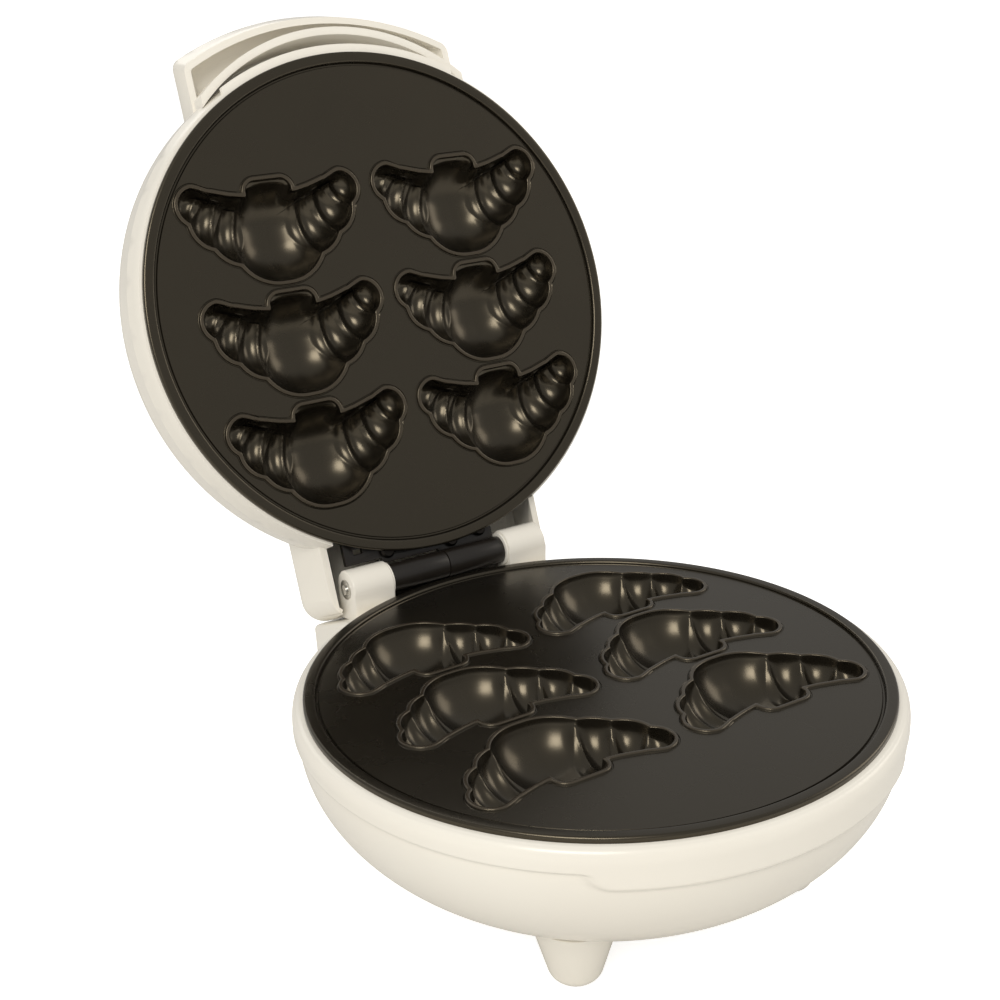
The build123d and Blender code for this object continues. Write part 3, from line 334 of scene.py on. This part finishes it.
def cooking_face(radius, sign):
    """One half of the round face of a plate, out to the groove, with its three moulds."""
    rings = mould_rings()
    deselect()
    bpy.ops.mesh.primitive_grid_add(x_subdivisions=around, y_subdivisions=len(rings) - 1, size=2.0)
    mould = bpy.context.object
    grid = np.empty(len(mould.data.vertices) * 3)
    mould.data.vertices.foreach_get("co", grid)
    grid = grid.reshape(-1, 3)
    column = np.rint((grid[:, 0] + 1) / 2 * around).astype(int)
    row = np.rint((1 - grid[:, 1]) / 2 * (len(rings) - 1)).astype(int)
    mould.data.vertices.foreach_set("co", (rings[row, column] + (0, 0, face_up)).reshape(-1))
    in_edit(mould)
    bpy.ops.mesh.select_all(action="SELECT")
    bpy.ops.mesh.remove_doubles(threshold=0.0001)
    bpy.ops.object.mode_set(mode="OBJECT")
    moulds = [mould]
    for along in mould_rows[1:]:
        moulds.append(mould.copy())
        moulds[-1].data = mould.data.copy()
        bpy.context.scene.collection.objects.link(moulds[-1])
        moulds[-1].data.transform(Matrix.Translation((sign * mould_aside, along, 0)))
    mould.data.transform(Matrix.Translation((sign * mould_aside, mould_rows[0], 0)))
    face = drawn([(sign * radius * sin(radians(a)), radius * cos(radians(a)), face_up) for a in range(181)])
    for piece in moulds + [face]:
        piece.select_set(True)
    bpy.context.view_layer.objects.active = face
    bpy.ops.object.join()
    # the flat field between the moulds, then a closed underside below the deepest lobe
    bpy.ops.object.mode_set(mode="EDIT")
    bpy.ops.mesh.select_mode(type="EDGE")
    bpy.ops.mesh.select_all(action="DESELECT")
    bpy.ops.mesh.select_non_manifold(extend=False)
    bpy.ops.mesh.fill(use_beauty=True)
    bpy.ops.mesh.select_all(action="SELECT")
    bpy.ops.mesh.normals_make_consistent(inside=False)
    bpy.ops.mesh.region_to_loop()
    bpy.ops.mesh.extrude_region_move(TRANSFORM_OT_translate={"value": (0.0, 0.0, -face_thick)})
    bpy.ops.mesh.edge_face_add()
    out_of_edit()
    return face


def turned(section, steps):
    """A shape turned about the upright axis from half its section, given as radius and height."""
    piece = drawn([(r, 0.0, z) for r, z in section])
    in_edit(piece)
    bpy.ops.mesh.select_all(action="SELECT")
    bpy.ops.mesh.spin(steps=steps, angle=2 * pi, center=(0, 0, 0), axis=(0, 0, 1))
    bpy.ops.mesh.select_all(action="SELECT")
    bpy.ops.mesh.remove_doubles(threshold=0.0005)
    out_of_edit()
    return piece


def arc(cx, cz, radius, start, end, count, tall=None):
    """Points along a round corner, or an oval one where tall is given, by angle in degrees."""
    tall = radius if tall is None else tall
    turns = [radians(start + (end - start) * i / (count - 1)) for i in range(count)]
    return [(cx + radius * cos(t), cz + tall * sin(t)) for t in turns]


def plate_ring(radius):
    """Flat ring, groove and skirt round the edge of a plate."""
    inner, ring_up, ring_round, groove_up, web_low, skirt_low = radius - 4.2, 1.1, 0.9, 0.3, -1.6, -9.0
    skirt_outer, skirt_inner = inner - 0.3, inner - 2.7
    section = [(inner - 1.2, face_up), (inner - 1.1, 0.85), (inner - 1.0, 0.45), (inner - 0.85, groove_up),
               (inner - 0.35, groove_up), (inner - 0.2, 0.45), (inner, 0.8), (inner, ring_up)]
    section += arc(inner + ring_round, ring_up, ring_round, 180, 90, 6)
    section += arc(radius - ring_round, ring_up, ring_round, 90, 0, 8)
    section += [(radius, 0.05), (radius - 0.05, 0.0), (skirt_outer, 0.0), (skirt_outer, skirt_low),
                (skirt_inner, skirt_low), (skirt_inner, web_low), (inner - 1.2, web_low)]
    return turned(section, 288)


base_plate_radius, lid_plate_radius, face_margin, lip_from = 100.0, 97.5, 5.4, 0.6
for side, seam, radius in (("base", base_seam, base_plate_radius), ("lid", lid_face, lid_plate_radius)):
    for half, sign in (("left", -1), ("right", 1)):
        face = cooking_face(radius - face_margin, sign)
        on_lip = [part.center.z > face_up + lip_from for part in face.data.polygons]
        placed(face, seam, f"{side}_plate_{half}_moulds", side, coating, f"{side}_plate")
        # the lip's faces get the coating with the painted highlight
        face.data.materials.append(lip_highlight_coating)
        face.data.polygons.foreach_set("material_index", on_lip)
        smooth(face, 42)
    ring = placed(plate_ring(radius), seam, f"{side}_plate_ring", side, coating, f"{side}_plate")
    smooth(ring, 40)

# Housing of the base: one moulding of glossy cream plastic. A deep bowl under a narrow band
# round its rim, with a deeper lip in front, and a box behind that carries the hinge.
cream, tree, shader, place = blank_material("moulded_cream_plastic")
shader.inputs["Roughness"].default_value = 0.24
shader.inputs["IOR"].default_value = 1.53
flow = noise(tree, place, 320.0, 2.0)
skin = add_node(tree, "ShaderNodeBump", [(flow.outputs["Fac"], "Height")], Strength=0.05, Distance=0.0001)
tree.links.new(skin.outputs["Normal"], shader.inputs["Normal"])
shade = noise(tree, place, 14.0, 2.0)
tint = add_node(tree, "ShaderNodeValToRGB", [(shade.outputs["Fac"], "Fac")])
tint.color_ramp.elements[0].color = colour("#F1ECE2")
tint.color_ramp.elements[1].color = colour("#F7F4EB")
tree.links.new(tint.outputs["Color"], shader.inputs["Base Color"])

rim_r, band_r, bowl_r, wall = 101.6, 104.0, 102.5, 2.6
bowl_middle, bowl_tall, bowl_low = -10.0, 61.0, -56.0
cover_r, opening_r, cover_up = 52.3, 44.0, -54.0
ledge_r, ledge_down = 95.8, -3.0
bowl_inside = arc(0, bowl_middle, bowl_r - wall, 0, -45, 20, bowl_tall - wall)
section = [(cover_r, bowl_low), (66.6, bowl_low)]
floor_turn = -degrees(asin((bowl_middle - bowl_low) / bowl_tall))
section += arc(0, bowl_middle, bowl_r, floor_turn, -6.0, 44, bowl_tall)
section += [(sqrt(1 - ((bowl_middle - z) / bowl_tall) ** 2) * bowl_r if z < bowl_middle else bowl_r, z)
            for z in np.arange(-16.0, -8.6, 0.35)]
section += [(bowl_r + 0.1, -8.5), (bowl_r + 0.5, -8.2), (band_r - 0.35, -7.75), (band_r - 0.1, -7.55)]
section += [(band_r, z) for z in (-7.3, -6.8, -6.3, -5.8, -5.3, -4.9)]
section += arc(band_r - 2.1, -4.9, 2.1, 10, 90, 9, 4.6)
section += [(rim_r - 0.05, -0.1), (rim_r - 0.25, 0.0), (ledge_r, 0.0), (ledge_r, ledge_down),
            (bowl_r - wall, ledge_down)]
section += bowl_inside + [(opening_r, cover_up + wall), (opening_r, cover_up), (cover_r, cover_up)]
bowl = turned(section, 360)
# the deeper lip in front: only the wall near it moves out, and its edges run out softly to the bowl
lip_half_wide, lip_low, lip_round, lip_run_out = 55.5, -6.6, 7.0, 2.6
for point in bowl.data.vertices:
    x, y, z = point.co
    reach = sqrt(x * x + y * y)
    if y < 0 and abs(x) < 66 and -16.5 < z < -7.0 and reach > 100.5:
        out_x = abs(x) * band_r / reach - lip_half_wide
        out_z = lip_low - z
        to_edge = sqrt(max(out_x, 0) ** 2 + max(out_z, 0) ** 2) + min(max(out_x, out_z), 0) - lip_round
        proud = min(max(0.5 - to_edge / lip_run_out, 0.0), 1.0)
        proud = proud * proud * (3 - 2 * proud)
        wanted = reach + (band_r - reach) * proud
        point.co.x, point.co.y = x * wanted / reach, y * wanted / reach
placed(bowl, base_seam, "base_bowl", "base", cream, "base_housing")
smooth(bowl, 35)


def beveled(piece, width, segments, angle):
    """Rounds those of a piece's edges that are sharper than an angle in degrees."""
    pick(piece)
    bevel = piece.modifiers.new("bevel", "BEVEL")
    bevel.width = width
    bevel.segments = segments
    bevel.limit_method = "ANGLE"
    bevel.angle_limit = radians(angle)
    bpy.ops.object.modifier_apply(modifier=bevel.name)


def slab(outline, left, right):
    """A side outline, as distance back and height, pushed out from left to right."""
    piece = drawn([(left, y, z) for y, z in outline])
    in_edit(piece)
    bpy.ops.mesh.select_all(action="SELECT")
    bpy.ops.mesh.edge_face_add()
    bpy.ops.mesh.extrude_region_move(TRANSFORM_OT_translate={"value": (right - left, 0.0, 0.0)})
    out_of_edit()
    return piece


def cut(piece, cutter):
    """Cuts one piece with another, which is then thrown away."""
    pick(piece)
    tool = piece.modifiers.new("cut", "BOOLEAN")
    tool.operation = "DIFFERENCE"
    tool.solver = "EXACT"
    tool.object = cutter
    bpy.ops.object.modifier_apply(modifier=tool.name)
    bpy.data.objects.remove(cutter)


# Hinge box of the base: hollow and moulded with the bowl. The open lid leans on its sloping top,
# and the base's hinge leaf stands in a slot behind the bowl.
box_half_wide, box_low, stop_front, stop_rear = 50.0, -54.0, -2.6, -17.03
box = slab([(69.0, -0.9), (94.5, stop_front), (128.0, stop_rear), (125.4, box_low), (69.0, box_low)],
           -box_half_wide, box_half_wide)
# its two upright rear edges are rounded the most
in_edit(box)
bpy.ops.mesh.select_mode(type="EDGE")
bpy.ops.mesh.select_all(action="DESELECT")
bpy.ops.object.mode_set(mode="OBJECT")
for edge in box.data.edges:
    a, b = (box.data.vertices[v].co for v in edge.vertices)
    edge.select = min(a.y, b.y) > 125 and abs(a.z - b.z) > 20
in_edit(box)
bpy.ops.mesh.bevel(offset=7.0, segments=8, profile=0.5)
bpy.ops.object.mode_set(mode="OBJECT")
beveled(box, 1.6, 4, 20)
cut(box, slab([(81.0, -3.5), (94.5, -5.5), (124.0, -19.0), (122.8, box_low + wall), (81.0, box_low + wall)],
              wall - box_half_wide, box_half_wide - wall))
slot_front, slot_rear, slot_low, slot_half_wide = 105.9, 108.9, -14.0, 25.3
cut(box, slab([(slot_front, 3.0), (slot_rear, 3.0), (slot_rear, slot_low), (slot_front, slot_low)],
              -slot_half_wide, slot_half_wide))
# the bowl's own hollow runs on through it
cut(box, turned([(0.0, 4.0), (bowl_r - wall, 4.0), (bowl_r - wall, bowl_middle)] + bowl_inside[1:]
                + [(0.0, -51.2)], 120))
placed(box, base_seam, "base_hinge_box", "base", cream, "base_housing")
smooth(box, 30)

# Hinge ears: two round-topped lugs, moulded on the hinge box. Each has a wide seat for a bush, open to
# the middle, and a smaller hole for the pin through its outer end.
pin_back, pin_up, ear_front, ear_rear = 105.3, 5.4, 97.9, 112.7
ear_round, bush_seat_r, pin_hole_r, end_wall, clear = 7.4, 5.8, 2.1, 2.0, 1.0
for side, low_x, high_x in (("left", -43.0, -26.0), ("right", 26.0, 43.0)):
    top = arc(pin_back, pin_up, ear_round, 180, 0, 21)
    web = slab([(ear_front, -6.0), (ear_front, pin_up)] + top + [(ear_rear, -9.0)], low_x, high_x)
    beveled(web, 0.8, 3, 40)
    seat_ends = (low_x + end_wall, high_x + clear) if side == "left" else (low_x - clear, high_x - end_wall)
    cut(web, slab(arc(pin_back, pin_up, bush_seat_r, 0, 352, 45), *seat_ends))
    cut(web, slab(arc(pin_back, pin_up, pin_hole_r, 0, 348, 30), low_x - clear, high_x + clear))
    placed(web, base_seam, f"hinge_ear_{side}", "base", cream, "base_housing")
    smooth(web, 35)


def refined(name, piece_name, body, material, bevel):
    """A fuller piece from a CAD node's form: its edges are rounded and its faces smoothed."""
    sharp = 30.0
    source = nodes[name]
    piece = source.copy()
    piece.data = source.data.copy()
    piece.data.transform(source.matrix_world)
    piece.parent = None
    piece.matrix_world = Matrix.Identity(4)
    piece.name = piece_name
    bpy.context.scene.collection.objects.link(piece)
    in_edit(piece)
    bpy.ops.mesh.select_all(action="SELECT")
    bpy.ops.mesh.remove_doubles(threshold=0.000002)
    bpy.ops.mesh.dissolve_limited(angle_limit=radians(0.05))
    bpy.ops.mesh.normals_make_consistent(inside=False)
    bpy.ops.object.mode_set(mode="OBJECT")
    beveled(piece, bevel / 1000, 2, sharp)
    smooth(piece, sharp)
    piece.data.materials.clear()
    piece.data.materials.append(material)
    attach(piece, body)
    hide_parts(name)
    return piece


# Housing of the lid: one moulding of the same cream plastic. A shallow dome with a rounded shoulder, the
# two hinge cheeks behind it, and in front the visor-like handle with its finger pocket and grip wall.
lid_shell = refined("lid_housing", "lid_shell", "lid", cream, 0.45)
side_radius, shoulder_up, shoulder_round, crown_up = 100.6, 17.0, 20.0, 41.0
shoulder_at, rise = side_radius - shoulder_round, crown_up - shoulder_up
crown_radius = (shoulder_at ** 2 + rise ** 2 - shoulder_round ** 2) / (2 * (rise - shoulder_round))


def dome_normal(point):
    """Which way the round dome faces at a point of it, or nothing where the point is not on the dome."""
    x, y, z = point
    tolerance = 0.04
    out = sqrt(x * x + y * y)
    over_crown = Vector((x, y, z - crown_up + crown_radius))
    over_side = Vector((out - shoulder_at, max(z - shoulder_up, 0.0)))
    if abs(over_crown.length - crown_radius) < tolerance and z > crown_up - 7.0:
        return over_crown.normalized()
    if abs(over_side.length - shoulder_round) < tolerance and z > 3.5:
        facing = over_side.normalized()
        return Vector((x / out * facing.x, y / out * facing.x, facing.y))
    return None


# the small flat faces of the dome are shaded as the smooth round that they stand for
to_seam = (lid_seam @ MM).inverted()
facings = [dome_normal(to_seam @ point.co) for point in lid_shell.data.vertices]
corners = [Vector((0.0, 0.0, 0.0))] * len(lid_shell.data.loops)
for part in lid_shell.data.polygons:
    on_dome = [facings[v] for v in part.vertices]
    if all(on_dome) and (to_seam.to_3x3() @ part.normal).normalized().dot(on_dome[0]) > 0.85:
        for corner, facing in zip(part.loop_indices, on_dome):
            corners[corner] = (lid_seam.to_3x3() @ facing).normalized()
lid_shell.data.normals_split_custom_set(corners)


# Rounded edges of the hinge box behind the dome: bands just inside the shell that keep its thin edges
# closed and as thick as the moulding is there. One is swept round the top, and one stands in each corner.
def ribbon(sections):
    """A closed band through a row of like sections, each a closed outline of points."""
    deselect()
    last, count = len(sections) - 1, len(sections[0])
    bpy.ops.mesh.primitive_grid_add(x_subdivisions=last, y_subdivisions=count, size=2.0)
    band = bpy.context.object
    for point in band.data.vertices:
        section = sections[round((point.co.x + 1) / 2 * last)]
        point.co = section[round((point.co.y + 1) / 2 * count) % count]
    in_edit(band)
    bpy.ops.mesh.select_all(action="SELECT")
    bpy.ops.mesh.remove_doubles(threshold=0.0001)
    bpy.ops.mesh.select_mode(type="EDGE")
    bpy.ops.mesh.select_all(action="DESELECT")
    bpy.ops.mesh.select_non_manifold(extend=False)
    bpy.ops.mesh.edge_face_add()
    out_of_edit()
    return band


def swept(x, y, turn):
    """The top band's section, set out from a place in a direction that is given as an angle."""
    aside, back = cos(radians(turn)), sin(radians(turn))
    return [(x + out * aside, y + out * back, up) for out, up in edge_section]


edge_out, edge_up, edge_outer_r, edge_inner_r = 0.9, 24.9, 7.98, 6.4
edge_half, edge_front, edge_rear = 43.25, 82.0, 108.88
edge_section = (arc(edge_out, edge_up, edge_outer_r, -15, 90, 16)
                + arc(edge_out, edge_up, edge_inner_r, 90, -15, 16))
row = [swept(edge_half, edge_front, 0)] + [swept(edge_half, edge_rear, a) for a in range(0, 91, 6)]
row += [swept(-edge_half, edge_rear, a) for a in range(90, 181, 6)] + [swept(-edge_half, edge_front, 180)]
edge_band = placed(ribbon(row), lid_seam, "lid_box_top_band", "lid", cream, "lid_housing")
smooth(edge_band, 40)

# each corner's own line leans outwards and back as it rises
corner_low, corner_rise, corner_aside, corner_back = (39.5, 107.3, 5.0), 28.0, 5.5, 2.25
corner_outer_r, corner_inner_r = 8.84, 7.4
corner_section = arc(0, 0, corner_outer_r, -5, 50, 12) + arc(0, 0, corner_inner_r, 50, -5, 12)
for side, sign in (("left", -1), ("right", 1)):
    row = []
    for up in (5.4, 10.0, 15.0, 20.0, 25.0):
        x = corner_low[0] + corner_aside * (up - corner_low[2]) / corner_rise
        y = corner_low[1] + corner_back * (up - corner_low[2]) / corner_rise
        row.append([(sign * (x + out), y + back, up) for out, back in corner_section])
    corner_band = placed(ribbon(row), lid_seam, f"lid_box_corner_band_{side}", "lid", cream, "lid_housing")
    smooth(corner_band, 40)


def finish_of(name, hex_value, roughness, scale, metal=0.0, bump=0.1, ior=1.5, cloud=0.06):
    """A worked material: a fine grain in its surface and a soft variation of its colour and gloss."""
    material, tree, shader, place = blank_material(name)
    shader.inputs["Metallic"].default_value = metal
    shader.inputs["IOR"].default_value = ior
    grain = noise(tree, place, scale, 3.0)
    height = add_node(tree, "ShaderNodeBump", [(grain.outputs["Fac"], "Height")],
                      Strength=bump, Distance=0.00008)
    tree.links.new(height.outputs["Normal"], shader.inputs["Normal"])
    drift = noise(tree, place, 60.0, 3.0)
    gloss = add_node(tree, "ShaderNodeMapRange", [(drift.outputs["Fac"], "Value")],
                     To_Min=roughness * 0.8, To_Max=roughness * 1.2)
    tree.links.new(gloss.outputs["Result"], shader.inputs["Roughness"])
    tint = add_node(tree, "ShaderNodeValToRGB", [(drift.outputs["Fac"], "Fac")])
    base = colour(hex_value)
    tint.color_ramp.elements[0].color = tuple(c * (1 - cloud) for c in base[:3]) + (1.0,)
    tint.color_ramp.elements[1].color = tuple(min(c * (1 + cloud), 1.0) for c in base[:3]) + (1.0,)
    tree.links.new(tint.outputs["Color"], shader.inputs["Base Color"])
    return material


# Hinge: two leaves of black satin plastic whose knuckles share a steel pin, with cream bushes in
# the ears of the base and clips on the ends of the pin.
black_plastic = finish_of("black_satin_plastic", "#1D1915", 0.34, 1400.0, bump=0.14)
plated_steel = finish_of("nickel_plated_steel", "#C9C7C2", 0.26, 2200.0, metal=1.0)
refined("base_hinge_leaf", "base_hinge_knuckle", "base", black_plastic, 0.3)
refined("lid_hinge_leaf", "lid_hinge_panel", "lid", black_plastic, 0.3)
refined("hinge_bushes", "hinge_bush_pair", "base", cream, 0.2)

# Feet: four tapered posts in the housing's cream plastic, on soft black pads.
rubber = finish_of("black_rubber", "#1B1A19", 0.72, 1800.0, bump=0.3)
for spot in ("front_left", "front_right", "rear_left", "rear_right"):
    refined(f"foot_{spot}", f"tapered_foot_{spot}", "base", cream, 0.3)
refined("foot_pads", "soft_foot_pads", "base", rubber, 0.3)

# Underside: a vented cover of the same cream plastic, and at the rear a gland of the same rubber.
refined("bottom_cover", "vented_bottom_cover", "base", cream, 0.25)
refined("cord_gland", "rear_cord_gland", "base", rubber, 0.3)


def finished(material, *names):
    """Gives CAD nodes their material."""
    for name in names:
        nodes[name].data.materials.clear()
        nodes[name].data.materials.append(material)


# Fasteners and heating parts inside: zinc-plated and blackened screws, steel tube elements that have
# darkened with heat, pressed aluminium reflectors, and the thermostat, fuse and terminal block.
black_steel = finish_of("blackened_screw_steel", "#33302D", 0.4, 1500.0, metal=1.0, bump=0.12, cloud=0.1)
zinc_steel = finish_of("zinc_plated_steel", "#B9BABB", 0.33, 1500.0, metal=1.0, bump=0.12, cloud=0.1)
fired_steel = finish_of("heat_darkened_steel", "#4B4039", 0.46, 700.0, metal=1.0, bump=0.22, cloud=0.3)
pressed_aluminium = finish_of("pressed_aluminium", "#D3D4D3", 0.3, 500.0, metal=1.0, bump=0.16, cloud=0.05)
phenolic = finish_of("brown_black_phenolic", "#231A15", 0.42, 1100.0, bump=0.2, cloud=0.2)
ceramic = finish_of("unglazed_white_ceramic", "#DDD6C6", 0.62, 1600.0, bump=0.24, cloud=0.05)
finished(plated_steel, "hinge_pin", "pin_clips")
finished(zinc_steel, "bottom_cover_screws", "foot_screws", "base_plate_screws", "base_reflector_screws",
         "lid_plate_screws", "lid_reflector_screws", "thermal_fuse")
finished(black_steel, "base_leaf_screws", "lid_leaf_screws")
finished(fired_steel, "base_heating_element", "lid_heating_element")
finished(pressed_aluminium, "base_reflector", "lid_reflector")
finished(phenolic, "thermostat")
finished(ceramic, "terminal_block")

# Lamps in the lid: a red lens for power and a green one for ready, each over a small glass bulb.
for name, hex_value, material_name in (("power_lens", "#B3231B", "red_clear_plastic"),
                                       ("ready_lens", "#2F8A43", "green_clear_plastic"),
                                       ("lamp_bulbs", "#E9E6DC", "clear_bulb_glass")):
    tinted = finish_of(material_name, hex_value, 0.16, 600.0, bump=0.05, ior=1.49, cloud=0.04)
    tinted.node_tree.nodes["Principled BSDF"].inputs["Transmission Weight"].default_value = 0.4
    finished(tinted, name)
